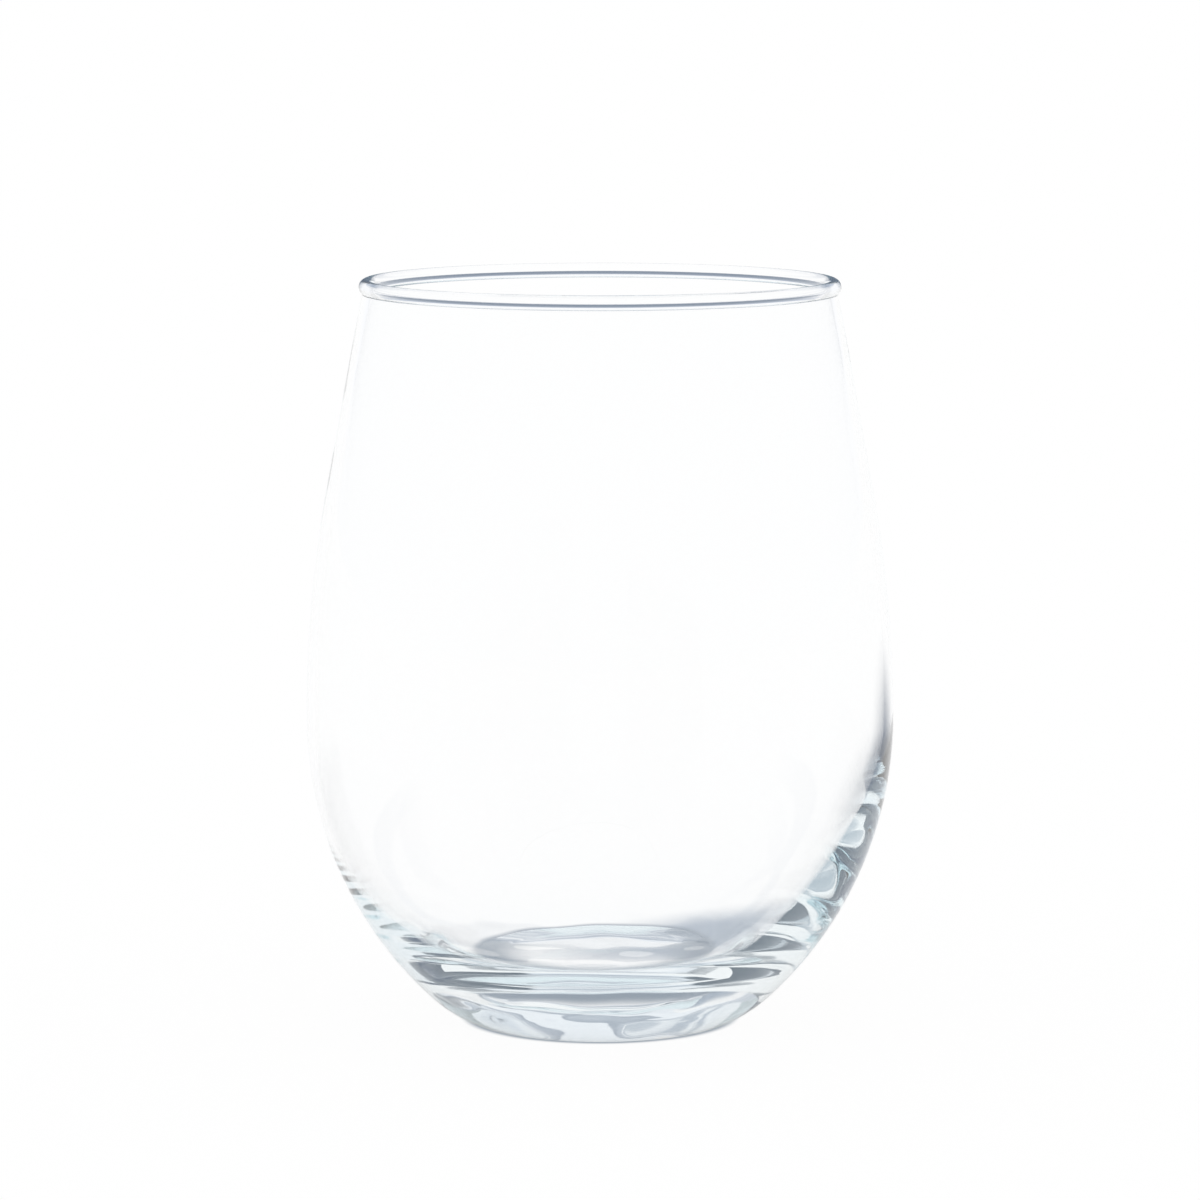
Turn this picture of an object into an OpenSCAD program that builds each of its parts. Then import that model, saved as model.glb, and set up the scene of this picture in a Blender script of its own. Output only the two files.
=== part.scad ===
// Stemless wine glass, clear, with a rounded foot and a fire-polished rim.
// The real glass is one blown piece. It is drawn as four regions that meet face to face.
// Millimetres. The table is the plane z = 0, and the glass is round about the Z axis.

/* [Overall] */
// Height from the table to the top of the rim
glass_h = 116.6; // [100:0.1:134]
// Outside diameter at the belly, the widest place
belly_d = 92; // [80:0.5:106]
// How much higher the belly stands than its own radius
belly_lift = 1.7; // [0:0.1:6]

/* [Upper wall] */
// Thickness of the wall from the belly up
wall_t = 1.4; // [1:0.1:2]
// Radius of the outside curve above the belly
shoulder_r = 197; // [140:1:240]
// Lean of the straight part of the wall towards the axis, in degrees
wall_lean = 10.4; // [6:0.1:13]

/* [Rim] */
// Diameter of the rounded bead round the mouth
bead_d = 2.4; // [2.2:0.1:3.4]

/* [Lower bowl] */
// Radius of the tight outside curve between the bowl and the foot
knuckle_r = 20; // [14:0.5:24]
// Radius of the inside curve between the bowl and the bottom
inner_knuckle_r = 23; // [18:0.5:28]

/* [Base] */
// Height of the inside bottom above the table, at the middle
base_t = 6.8; // [4:0.1:9]
// Slope of the inside bottom where it meets the inside curve, in degrees
dish_slope = 11.5; // [6:0.1:16]
// How far the edge of the foot is set in from the belly
foot_set = 25.7; // [21:0.1:31]
// Slope of the outside where it leaves the foot, in degrees from the table
foot_slope = 21.7; // [14:0.1:30]
// Radius of the foot's rounded edge
heel_r = 1.2; // [0.6:0.1:3]
// Width of the flat ring that stands on the table
ring_w = 3.3; // [2:0.1:6]
// Depth of the shallow hollow under the foot
pushup_h = 0.6; // [0.3:0.1:1.8]

/* [Hidden] */
$fn = 200;
glass_tint = [0.86, 0.93, 0.94, 0.4];
band_lap = 0.001;

belly_r = belly_d / 2;
belly_z = belly_r + belly_lift;
bore_r = belly_r - wall_t;

// Above the belly: an arc that leaves the belly upright, then a straight leaning wall
shoulder_x = belly_r - shoulder_r;
shoulder_z = belly_z + shoulder_r * sin(wall_lean);
inner_shoulder_r = shoulder_r - wall_t;
inner_shoulder_z = belly_z + inner_shoulder_r * sin(wall_lean);

// The bead sits on the wall where its chord is as wide as the wall
rim_w = wall_t / cos(wall_lean);
bead_z = glass_h - bead_d / 2;
rim_z = bead_z - sqrt(pow(bead_d, 2) - pow(rim_w, 2)) / 2;
bead_x = wall_x(rim_z) - rim_w / 2;

// Outside below the belly: bowl arc, knuckle arc and the foot's rounded edge, each tangent to the next
foot_r = belly_r - foot_set;
heel_top_z = heel_r * (1 - cos(foot_slope));
knuckle_x = foot_r - (knuckle_r - heel_r) * sin(foot_slope);
knuckle_z = heel_r + (knuckle_r - heel_r) * cos(foot_slope);
bowl_r = upright_arc_r(belly_r - knuckle_x, belly_z - knuckle_z, knuckle_r);
bowl_low_z = upright_arc_low(knuckle_z, knuckle_r, bowl_r);

// Inside below the belly: bowl arc, knuckle arc and a shallow dish as wide as the foot, each tangent to the next
dish_r = foot_r / sin(dish_slope);
dish_top_z = base_t + dish_r * (1 - cos(dish_slope));
inner_knuckle_x = foot_r - inner_knuckle_r * sin(dish_slope);
inner_knuckle_z = dish_top_z + inner_knuckle_r * cos(dish_slope);
inner_bowl_r = upright_arc_r(bore_r - inner_knuckle_x, belly_z - inner_knuckle_z, inner_knuckle_r);
inner_bowl_low_z = upright_arc_low(inner_knuckle_z, inner_knuckle_r, inner_bowl_r);

// The hollow under the foot is a shallow cap of a sphere
pushup_r = (pow(foot_r - ring_w, 2) + pow(pushup_h, 2)) / (2 * pushup_h);

// Radius of the straight wall's outside at height z
function wall_x(z) =
    belly_r - shoulder_r * (1 - cos(wall_lean)) - (z - shoulder_z) * tan(wall_lean);

// Radius of the arc that is upright at the belly and tangent to a knuckle whose centre is dx in and dz down
function upright_arc_r(dx, dz, knuckle) =
    (pow(dx, 2) + pow(dz, 2) - pow(knuckle, 2)) / (2 * (dx - knuckle));

// Height at which that arc meets the knuckle
function upright_arc_low(centre_z, knuckle, arc) =
    belly_z - (belly_z - centre_z) * arc / (arc - knuckle);

// Everything from the axis out to an arc about (x, z), between two heights
// It runs on by a hair into the band above, so that rounding leaves no film between them
module to_arc(x, z, r, low, high) {
    band_h = high - low + band_lap;
    intersection() {
        translate([x, z])
            circle(r);
        translate([0, low])
            square([belly_r, band_h]);
    }
    if (x > 0)
        translate([0, low])
            square([x, band_h]);
}

// Everything inside the outer surface, from the belly up to the rim's seam
module upper_outline() {
    to_arc(shoulder_x, belly_z, shoulder_r, belly_z, shoulder_z);
    polygon([
        [0, shoulder_z],
        [wall_x(shoulder_z), shoulder_z],
        [wall_x(rim_z), rim_z],
        [0, rim_z]
    ]);
}

// The hollow of the glass, from the belly up to the rim's seam
module upper_hollow() {
    to_arc(shoulder_x, belly_z, inner_shoulder_r, belly_z, inner_shoulder_z);
    polygon([
        [0, inner_shoulder_z],
        [wall_x(inner_shoulder_z) - rim_w, inner_shoulder_z],
        [wall_x(rim_z) - rim_w, rim_z],
        [0, rim_z]
    ]);
}

// Everything inside the outer surface, from the table up to the belly
module lower_outline() {
    to_arc(belly_r - bowl_r, belly_z, bowl_r, bowl_low_z, belly_z);
    to_arc(knuckle_x, knuckle_z, knuckle_r, heel_top_z, bowl_low_z);
    to_arc(foot_r, heel_r, heel_r, 0, heel_top_z);
}

// The hollow of the glass, from the top of its dish up to the belly
module lower_hollow() {
    to_arc(bore_r - inner_bowl_r, belly_z, inner_bowl_r, inner_bowl_low_z, belly_z);
    to_arc(inner_knuckle_x, inner_knuckle_z, inner_knuckle_r, dish_top_z, inner_bowl_low_z);
}

// Rounded bead round the mouth
module rim_bead() {
    color(glass_tint)
        rotate_extrude()
            intersection() {
                translate([bead_x, bead_z])
                    circle(d = bead_d);
                translate([0, rim_z])
                    square([belly_r, bead_d]);
            }
}

// Thin wall from the belly to the bead
module upper_wall() {
    color(glass_tint)
        rotate_extrude()
            difference() {
                upper_outline();
                upper_hollow();
            }
}

// Thickening wall between the base and the belly
module lower_bowl() {
    color(glass_tint)
        rotate_extrude()
            intersection() {
                difference() {
                    lower_outline();
                    lower_hollow();
                }
                translate([0, dish_top_z])
                    square([belly_r, belly_z - dish_top_z]);
            }
}

// Base with its rounded foot, the shallow dish inside and the hollow underneath
module thick_base() {
    color(glass_tint)
        rotate_extrude()
            difference() {
                intersection() {
                    lower_outline();
                    square([belly_r, dish_top_z]);
                }
                translate([0, base_t + dish_r])
                    circle(dish_r);
                translate([0, pushup_h - pushup_r])
                    circle(pushup_r);
            }
}

rim_bead();
upper_wall();
lower_bowl();
thick_base();
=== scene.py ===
"""Looks of the stemless wine glass: one continuous body of clear glass in place of the four CAD regions."""

import math

import bpy
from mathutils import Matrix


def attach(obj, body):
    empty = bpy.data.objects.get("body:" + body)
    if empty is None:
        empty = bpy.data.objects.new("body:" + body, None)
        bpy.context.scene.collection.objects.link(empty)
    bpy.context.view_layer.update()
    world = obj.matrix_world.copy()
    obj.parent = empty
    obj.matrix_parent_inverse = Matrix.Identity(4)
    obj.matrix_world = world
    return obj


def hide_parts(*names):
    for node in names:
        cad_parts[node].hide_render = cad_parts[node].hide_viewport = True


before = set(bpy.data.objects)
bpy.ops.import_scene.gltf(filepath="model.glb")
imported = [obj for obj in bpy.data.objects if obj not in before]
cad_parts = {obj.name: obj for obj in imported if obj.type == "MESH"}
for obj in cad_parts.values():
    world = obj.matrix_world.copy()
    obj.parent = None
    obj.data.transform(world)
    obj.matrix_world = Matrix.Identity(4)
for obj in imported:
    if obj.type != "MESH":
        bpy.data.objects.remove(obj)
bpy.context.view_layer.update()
scene = bpy.context.scene

# Sizes from part.scad, in millimetres, with its angles in degrees
GLASS_H = 116.6
BELLY_R = 92 / 2
BELLY_Z = BELLY_R + 1.7
WALL_T = 1.4
SHOULDER_R = 197.0
WALL_LEAN = math.radians(10.4)
BEAD_R = 1.2
KNUCKLE_R = 20.0
INNER_KNUCKLE_R = 23.0
BASE_T = 6.8
DISH_SLOPE = math.radians(11.5)
FOOT_R = BELLY_R - 25.7
FOOT_SLOPE = math.radians(21.7)
HEEL_R = 1.2
PUSHUP_H = 0.6
PUSHUP_W = FOOT_R - 3.3

# Points along each part of the section, and turns of the section about the axis
DOME_POINTS = 25
HEEL_POINTS = 7
KNUCKLE_POINTS = 32
BOWL_POINTS = 60
SHOULDER_POINTS = 36
WALL_STEPS = 9
BEAD_POINTS = 48
DISH_POINTS = 40
TURNS = 256

# Distance of the edge loop under the bead, which keeps its crease tight
EDGE_LOOP = 0.12

# Unevenness of the blown inside, which only the looks have, in millimetres
# It goes off centre along X and Y over a stretch below the belly
INSIDE_DRIFT = (-1.2, 0.3)
DRIFT_FADE = 30.0
# Its bottom is wavy from a height down, and fully after a stretch
# Each ripple has radians per millimetre along X and Y, and a phase
RIPPLE_H = 0.25
RIPPLE_TOP = 14.0
RIPPLE_FADE = 10.0
RIPPLES = [(0.52, 0.11, 0.4), (-0.21, 0.47, 1.9), (0.34, -0.38, 3.1), (0.13, 0.63, 4.4), (0.71, 0.29, 5.2)]


def arc(x, z, r, start, end, count):
    """Points on an arc about (x, z), angles in radians from the +X side, both ends kept."""
    step = (end - start) / (count - 1)
    angles = [start + step * k for k in range(count)]
    return [(x + r * math.cos(angle), z + r * math.sin(angle)) for angle in angles]


def straight(a, b, steps):
    """Points inside the straight line from a to b, without its ends."""
    shares = [k / steps for k in range(1, steps)]
    return [(a[0] + (b[0] - a[0]) * share, a[1] + (b[1] - a[1]) * share) for share in shares]


def bowl_arcs(edge_x, edge_z, slope, knuckle_r, belly_x):
    """The knuckle arc from a sloping edge, then the arc that is upright at the belly."""
    x = edge_x - knuckle_r * math.sin(slope)
    z = edge_z + knuckle_r * math.cos(slope)
    dx, dz = belly_x - x, BELLY_Z - z
    bowl_r = (dx ** 2 + dz ** 2 - knuckle_r ** 2) / (2 * (dx - knuckle_r))
    sweep = math.asin(dz / (bowl_r - knuckle_r))
    knuckle = arc(x, z, knuckle_r, slope - math.pi / 2, -sweep, KNUCKLE_POINTS)
    return knuckle + arc(belly_x - bowl_r, BELLY_Z, bowl_r, -sweep, 0, BOWL_POINTS)[1:]


def outside_profile():
    """The outer surface from the foot's flat ring up to the end of the shoulder arc."""
    heel = arc(FOOT_R, HEEL_R, HEEL_R, -math.pi / 2, FOOT_SLOPE - math.pi / 2, HEEL_POINTS)
    bowl = bowl_arcs(*heel[-1], FOOT_SLOPE, KNUCKLE_R, BELLY_R)
    shoulder = arc(BELLY_R - SHOULDER_R, BELLY_Z, SHOULDER_R, 0, WALL_LEAN, SHOULDER_POINTS)
    return heel + bowl[1:] + shoulder[1:]


def inside_profile():
    """The inner surface from the bottom's centre up to the end of the shoulder arc."""
    dish_r = FOOT_R / math.sin(DISH_SLOPE)
    dish = arc(0, BASE_T + dish_r, dish_r, -math.pi / 2, DISH_SLOPE - math.pi / 2, DISH_POINTS)
    bowl = bowl_arcs(*dish[-1], DISH_SLOPE, INNER_KNUCKLE_R, BELLY_R - WALL_T)
    shoulder = arc(BELLY_R - SHOULDER_R, BELLY_Z, SHOULDER_R - WALL_T, 0, WALL_LEAN, SHOULDER_POINTS)
    return dish + bowl[1:] + shoulder[1:]


def closed_profile():
    """The section from the hollow under the foot round to the inside's bottom, and where its inside starts."""
    dome_r = (PUSHUP_W ** 2 + PUSHUP_H ** 2) / (2 * PUSHUP_H)
    spread = math.asin(PUSHUP_W / dome_r)
    dome = arc(0, PUSHUP_H - dome_r, dome_r, math.pi / 2, math.pi / 2 - spread, DOME_POINTS)
    outer, inner = outside_profile(), inside_profile()
    rim_w = WALL_T / math.cos(WALL_LEAN)
    bead_z = GLASS_H - BEAD_R
    rim_z = bead_z - math.sqrt(BEAD_R ** 2 - (rim_w / 2) ** 2)
    rim_x = outer[-1][0] - (rim_z - outer[-1][1]) * math.tan(WALL_LEAN)
    start = math.atan2(rim_z - bead_z, rim_w / 2)
    bead = arc(rim_x - rim_w / 2, bead_z, BEAD_R, start, math.pi - start, BEAD_POINTS)
    loop_x = rim_x + EDGE_LOOP * math.tan(WALL_LEAN)
    outer_loop = (loop_x, rim_z - EDGE_LOOP)
    inner_loop = (loop_x - rim_w, rim_z - EDGE_LOOP)
    points = dome + outer + straight(outer[-1], outer_loop, WALL_STEPS) + [outer_loop] + bead
    inside_from = len(points)
    points += [inner_loop] + straight(inner_loop, inner[-1], WALL_STEPS) + inner[::-1]
    return points, inside_from


def ease(value):
    """A smooth step from 0 to 1."""
    value = min(max(value, 0), 1)
    return value * value * (3 - 2 * value)


def uneven(x, y, z):
    """A point of the inside, moved off the turned shape: not at all at the belly, and most at the bottom."""
    drift = ease((BELLY_Z - z) / DRIFT_FADE)
    ripple = sum(math.sin(x * kx + y * ky + phase) for kx, ky, phase in RIPPLES) / len(RIPPLES)
    rise = RIPPLE_H * ease((RIPPLE_TOP - z) / RIPPLE_FADE) * ripple
    return x + INSIDE_DRIFT[0] * drift, y + INSIDE_DRIFT[1] * drift, z + rise


def mesh_object(name, verts, faces):
    """A new object in the scene with the given mesh, in metres."""
    mesh = bpy.data.meshes.new(name)
    mesh.from_pydata(verts, [], faces)
    mesh.update()
    item = bpy.data.objects.new(name, mesh)
    scene.collection.objects.link(item)
    return item


def lathe(name, section, inside_from):
    """A closed smooth mesh that turns the section about Z. Its first and last points lie on the axis."""
    points = []
    for k in range(TURNS):
        angle = 2 * math.pi * k / TURNS
        c, s = math.cos(angle), math.sin(angle)
        for j, (r, z) in enumerate(section[1:-1], 1):
            point = (r * c, r * s, z)
            points.append(uneven(*point) if j >= inside_from else point)
    low, high = len(points), len(points) + 1
    points += [(0, 0, section[0][1]), uneven(0, 0, section[-1][1])]
    count = len(section) - 2
    faces = []
    for k in range(TURNS):
        a, b = k * count, (k + 1) % TURNS * count
        faces += [(a + j, b + j, b + j + 1, a + j + 1) for j in range(count - 1)]
        faces += [(low, b, a), (high, a + count - 1, b + count - 1)]
    piece = mesh_object(name, [(x / 1000, y / 1000, z / 1000) for x, y, z in points], faces)
    piece.data.shade_smooth()
    return piece


def feed(tree, socket, value):
    """Links a node's output to the socket, or sets the socket to a plain number, vector or colour."""
    if isinstance(value, bpy.types.NodeSocket):
        tree.links.new(value, socket)
    else:
        socket.default_value = (*value, 1) if socket.type == "RGBA" else value


def calc(tree, operation, *values):
    """The result of a Math node."""
    node = tree.nodes.new("ShaderNodeMath")
    node.operation = operation
    for socket, value in zip(node.inputs, values):
        feed(tree, socket, value)
    return node.outputs[0]


def vector_calc(tree, operation, *values):
    """The result of a Vector Math node, a number for a length or a dot product."""
    node = tree.nodes.new("ShaderNodeVectorMath")
    node.operation = operation
    for socket, value in zip(node.inputs, values):
        feed(tree, socket, value)
    return node.outputs["Value" if operation in ("LENGTH", "DOT_PRODUCT") else "Vector"]


def smooth_step(tree, value, start, full):
    """0 before the start and 1 from full on, with a smooth change between them."""
    node = tree.nodes.new("ShaderNodeMapRange")
    node.interpolation_type = "SMOOTHSTEP"
    feed(tree, node.inputs["Value"], value)
    node.inputs["From Min"].default_value = start
    node.inputs["From Max"].default_value = full
    return node.outputs["Result"]


def blend(tree, share, plain, tint):
    """A colour between two colours, by the share of the second."""
    node = tree.nodes.new("ShaderNodeMix")
    node.data_type = "RGBA"
    feed(tree, node.inputs["Factor"], share)
    feed(tree, node.inputs[6], plain)
    feed(tree, node.inputs[7], tint)
    return node.outputs[2]


def oval(tree, middle, half, edge, full):
    """0 at the edge of an oval and 1 where it is full, by object coordinates, as shares of its half lengths."""
    coord = tree.nodes.new("ShaderNodeTexCoord")
    place = vector_calc(tree, "SUBTRACT", coord.outputs["Object"], middle)
    place = vector_calc(tree, "MULTIPLY", place, [1 / length for length in half])
    return smooth_step(tree, vector_calc(tree, "LENGTH", place), edge, full)


def stage_material(name, share, first, second):
    """A material that mixes two shaders by a share. Each of the three is made by a function of the node tree."""
    mat = bpy.data.materials.new(name)
    mat.use_nodes = True
    tree = mat.node_tree
    tree.nodes.clear()
    mix = tree.nodes.new("ShaderNodeMixShader")
    tree.links.new(share(tree), mix.inputs[0])
    tree.links.new(first(tree), mix.inputs[1])
    tree.links.new(second(tree), mix.inputs[2])
    out = tree.nodes.new("ShaderNodeOutputMaterial")
    tree.links.new(mix.outputs[0], out.inputs["Surface"])
    return mat


# Clear soda-lime glass: its body colour, and a faint wave that also varies its polish
# The density and the scale are per metre, and the depth is in metres
GLASS_IOR = 1.52
BODY_COLOUR = (0.87, 0.935, 0.95, 1)
BODY_DENSITY = 10.0
WAVE_SCALE = 70.0
WAVE_STRENGTH = 0.02
WAVE_DEPTH = 0.001
POLISHED_AT, DULL_AT = 0.35, 0.75
DULLEST = 0.004


def glass_material():
    """Clear glass with a faint blue-green body colour, a faint wave and an almost perfect polish."""
    mat = bpy.data.materials.new("clear_glass")
    mat.use_nodes = True
    tree = mat.node_tree
    shader = tree.nodes["Principled BSDF"]
    shader.inputs["Base Color"].default_value = (1, 1, 1, 1)
    shader.inputs["IOR"].default_value = GLASS_IOR
    shader.inputs["Transmission Weight"].default_value = 1.0
    coord = tree.nodes.new("ShaderNodeTexCoord")
    wave = tree.nodes.new("ShaderNodeTexNoise")
    wave.inputs["Scale"].default_value = WAVE_SCALE
    wave.inputs["Detail"].default_value = 1.0
    tree.links.new(coord.outputs["Object"], wave.inputs["Vector"])
    bump = tree.nodes.new("ShaderNodeBump")
    bump.inputs["Strength"].default_value = WAVE_STRENGTH
    bump.inputs["Distance"].default_value = WAVE_DEPTH
    tree.links.new(wave.outputs["Fac"], bump.inputs["Height"])
    tree.links.new(bump.outputs["Normal"], shader.inputs["Normal"])
    polish = tree.nodes.new("ShaderNodeMapRange")
    polish.inputs["From Min"].default_value = POLISHED_AT
    polish.inputs["From Max"].default_value = DULL_AT
    polish.inputs["To Max"].default_value = DULLEST
    tree.links.new(wave.outputs["Fac"], polish.inputs["Value"])
    tree.links.new(polish.outputs["Result"], shader.inputs["Roughness"])
    absorb = tree.nodes.new("ShaderNodeVolumeAbsorption")
    absorb.inputs["Color"].default_value = BODY_COLOUR
    absorb.inputs["Density"].default_value = BODY_DENSITY
    tree.links.new(absorb.outputs["Volume"], tree.nodes["Material Output"].inputs["Volume"])
    return mat


glass = lathe("wine_glass", *closed_profile())
glass.data.materials.append(glass_material())
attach(glass, "root")
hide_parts("rim_bead", "upper_wall", "lower_bowl", "thick_base")

WHITE = (1, 1, 1)
# Floor in metres, a hair below the foot
# To each kind of ray, a share of it is plain white and the rest is lit
FLOOR_HALF = 12
FLOOR_Z = -0.00002
FLOOR_LIT = (0.97, 0.97, 0.97)
FLOOR_SHARES = {"Is Camera Ray": 0.96, "Is Transmission Ray": 0.94, "Is Glossy Ray": 0.06}
# Painted soft shade of the glass on the floor, which shows only through the glass
SHADE_MIDDLE = (0.02, 0.008, 0)
SHADE_HALF = (0.03, 0.017, math.inf)
SHADE_EDGE = (1.1, 0.3)
SHADE_TONE = (0.42, 0.48, 0.56)
# Painted contact shadow: a dark ring where the foot meets the floor, painted into the floor's white for the camera
# and through the glass. Its outer and inner edge are shares of the foot's radius
CONTACT_SHADOW_HALF = (FOOT_R / 1000, FOOT_R / 1000, math.inf)
CONTACT_SHADOW_OUTER = (1.1, 1.0)
CONTACT_SHADOW_INNER = (0.5, 0.92)
CONTACT_SHADOW_TONE = (0.28, 0.33, 0.39)


def floor_share(tree):
    """How much of the floor is plain white, by the kind of ray that meets it."""
    path = tree.nodes.new("ShaderNodeLightPath")
    share = 0.0
    for ray, amount in FLOOR_SHARES.items():
        share = calc(tree, "MULTIPLY_ADD", path.outputs[ray], amount, share)
    return share


def lit_floor(tree):
    """The floor as the studio lights it, with the real shadow of the glass."""
    lit = tree.nodes.new("ShaderNodeBsdfDiffuse")
    feed(tree, lit.inputs["Color"], FLOOR_LIT)
    return lit.outputs[0]


def white_floor_with_painted_shade(tree):
    """The plain white of the floor, with the painted soft shade and the painted contact shadow ring on it."""
    path = tree.nodes.new("ShaderNodeLightPath")
    # Painted soft shade of the glass, darkened into the floor's white only for light through the glass
    shade = oval(tree, SHADE_MIDDLE, SHADE_HALF, *SHADE_EDGE)
    shade = calc(tree, "MULTIPLY", shade, path.outputs["Is Transmission Ray"])
    # Painted contact shadow: the ring between these two ovals is darkened in the floor's white
    outer, inner = (oval(tree, (0, 0, 0), CONTACT_SHADOW_HALF, *edge) for edge in (CONTACT_SHADOW_OUTER, CONTACT_SHADOW_INNER))
    colour = blend(tree, shade, WHITE, SHADE_TONE)
    colour = blend(tree, calc(tree, "MULTIPLY", outer, inner), colour, CONTACT_SHADOW_TONE)
    white = tree.nodes.new("ShaderNodeEmission")
    feed(tree, white.inputs["Color"], colour)
    return white.outputs[0]


floor_corners = [(x * FLOOR_HALF, y * FLOOR_HALF, FLOOR_Z) for x, y in ((-1, -1), (1, -1), (1, 1), (-1, 1))]
floor = mesh_object("studio_floor", floor_corners, [(0, 1, 2, 3)])
floor.data.materials.append(stage_material("studio_floor", floor_share, lit_floor, white_floor_with_painted_shade))

# Studio round the glass, as three skies. Light that the glass mirrors at most once sees the near sky, light that it
# mirrors more often sees the deep sky, and what the floor sends up sees the light sky
# Each patch is a direction, the cosines where it starts and is full, and its colour
NEAR_MIRRORS = 1.5
NEAR_SKY = (0.97, 0.98, 1)
NEAR_PATCHES = [
    ((0, 0, 1), 0.2, 0.22, (0.5, 0.56, 0.66)),
    ((0, 0, 1), 0.32, 0.36, NEAR_SKY),
    ((0, -1, 0), -0.35, 0.15, NEAR_SKY),
    ((0, 1, 0.05), 0.955, 0.995, (0.2, 0.25, 0.33)),
]
DEEP_SKY = (0.9, 0.93, 0.97)
DEEP_PATCHES = [
    ((0, 0, 1), 0.18, 0.2, (0.4, 0.45, 0.52)),
    ((0, 0, 1), 0.29, 0.34, (0.78, 0.82, 0.88)),
    ((0, 0, 1), 0.7, 0.84, (0.97, 0.98, 1)),
    ((0, 0.8, 0.6), 0.9, 0.95, (0.5, 0.55, 0.62)),
    ((0, -1, 0), -0.35, 0.15, (0.95, 0.965, 0.985)),
    ((-0.93, -0.1, 0.1), 0.7, 0.93, (0.45, 0.52, 0.58)),
    ((-0.8, 0.55, 0.2), 0.84, 0.87, (0.13, 0.165, 0.205)),
    ((0.8, 0.58, 0.2), 0.84, 0.87, (0.11, 0.145, 0.185)),
]
LIGHT_SKY = (1.03, 1.03, 1.03)


def sky(tree, direction, colour, patches):
    """A colour by direction, with each patch blended in round its own direction."""
    for axis, start, full, tint in patches:
        length = math.sqrt(sum(v * v for v in axis))
        cosine = vector_calc(tree, "DOT_PRODUCT", direction, [v / length for v in axis])
        colour = blend(tree, smooth_step(tree, cosine, start, full), colour, tint)
    return colour


def studio_world():
    """White to the camera, the near and the deep sky to the glass, and the light sky to the floor."""
    world = bpy.data.worlds.new("studio")
    scene.world = world
    world.use_nodes = True
    tree = world.node_tree
    tree.nodes.clear()
    direction = tree.nodes.new("ShaderNodeTexCoord").outputs["Generated"]
    path = tree.nodes.new("ShaderNodeLightPath")
    near = sky(tree, direction, NEAR_SKY, NEAR_PATCHES)
    deep = sky(tree, direction, DEEP_SKY, DEEP_PATCHES)
    colour = blend(tree, calc(tree, "GREATER_THAN", path.outputs["Glossy Depth"], NEAR_MIRRORS), near, deep)
    colour = blend(tree, path.outputs["Diffuse Depth"], colour, LIGHT_SKY)
    colour = blend(tree, path.outputs["Is Camera Ray"], colour, WHITE)
    back = tree.nodes.new("ShaderNodeBackground")
    tree.links.new(colour, back.inputs["Color"])
    out = tree.nodes.new("ShaderNodeOutputWorld")
    tree.links.new(back.outputs[0], out.inputs["Surface"])


studio_world()

# Dark card behind the right side, in metres, which gives the right edge of the glass its shade
CARD_MIDDLE = (0.085, 0.06, 0.016)
CARD_HALF = 0.04
CARD_EDGE = (1.0, 0.4)
CARD_TONE = (0.02, 0.06, 0.13)
# It is hidden from light that is mirrored after more surfaces than these, which would draw it in the bowl
CARD_SURFACES = 2


def card_share(tree):
    """How much of the card shows at a place on it: a soft oval, and nothing to the light that it is hidden from."""
    path = tree.nodes.new("ShaderNodeLightPath")
    beyond = calc(tree, "SUBTRACT", path.outputs["Transmission Depth"], CARD_SURFACES)
    mirrored = calc(tree, "MINIMUM", beyond, path.outputs["Glossy Depth"])
    soft = oval(tree, CARD_MIDDLE, (CARD_HALF, math.inf, CARD_HALF), *CARD_EDGE)
    return calc(tree, "MULTIPLY", soft, calc(tree, "LESS_THAN", mirrored, 0.5))


def clear_card(tree):
    """Nothing, round the card's oval."""
    return tree.nodes.new("ShaderNodeBsdfTransparent").outputs[0]


def dark_card(tree):
    """The card's plain dark face."""
    dark = tree.nodes.new("ShaderNodeEmission")
    feed(tree, dark.inputs["Color"], CARD_TONE)
    return dark.outputs[0]


def side_card():
    """An upright card that faces the front, stands on the floor and is seen only through the glass."""
    x, y, z = CARD_MIDDLE
    left, right, low, high = x - CARD_HALF, x + CARD_HALF, max(z - CARD_HALF, 0), z + CARD_HALF
    corners = [(left, y, low), (right, y, low), (right, y, high), (left, y, high)]
    card = mesh_object("side_card", corners, [(0, 1, 2, 3)])
    card.data.materials.append(stage_material("side_card", card_share, clear_card, dark_card))
    card.visible_camera = False
    card.visible_diffuse = False
    card.visible_glossy = False
    card.visible_shadow = False


side_card()

# Camera fitted to the rim's ellipse, the bottom line and the sides of the glass in the photograph
CAMERA_PLACE = (0, -0.8485, 0.17587)
CAMERA_DOWN = math.radians(7.364)
CAMERA_LENS = 163.9
camera_data = bpy.data.cameras.new("camera")
camera_data.sensor_width = 36
camera_data.lens = CAMERA_LENS
camera_data.clip_start = 0.01
camera = bpy.data.objects.new("camera", camera_data)
camera.location = CAMERA_PLACE
camera.rotation_euler = (math.pi / 2 - CAMERA_DOWN, 0, 0)
scene.collection.objects.link(camera)
scene.camera = camera

# The thick base guides light through dozens of reflections, and goes black where they are cut short
LIGHT_BOUNCES = 96
scene.view_settings.view_transform = "Standard"
scene.cycles.max_bounces = LIGHT_BOUNCES
scene.cycles.transmission_bounces = LIGHT_BOUNCES
scene.cycles.glossy_bounces = LIGHT_BOUNCES
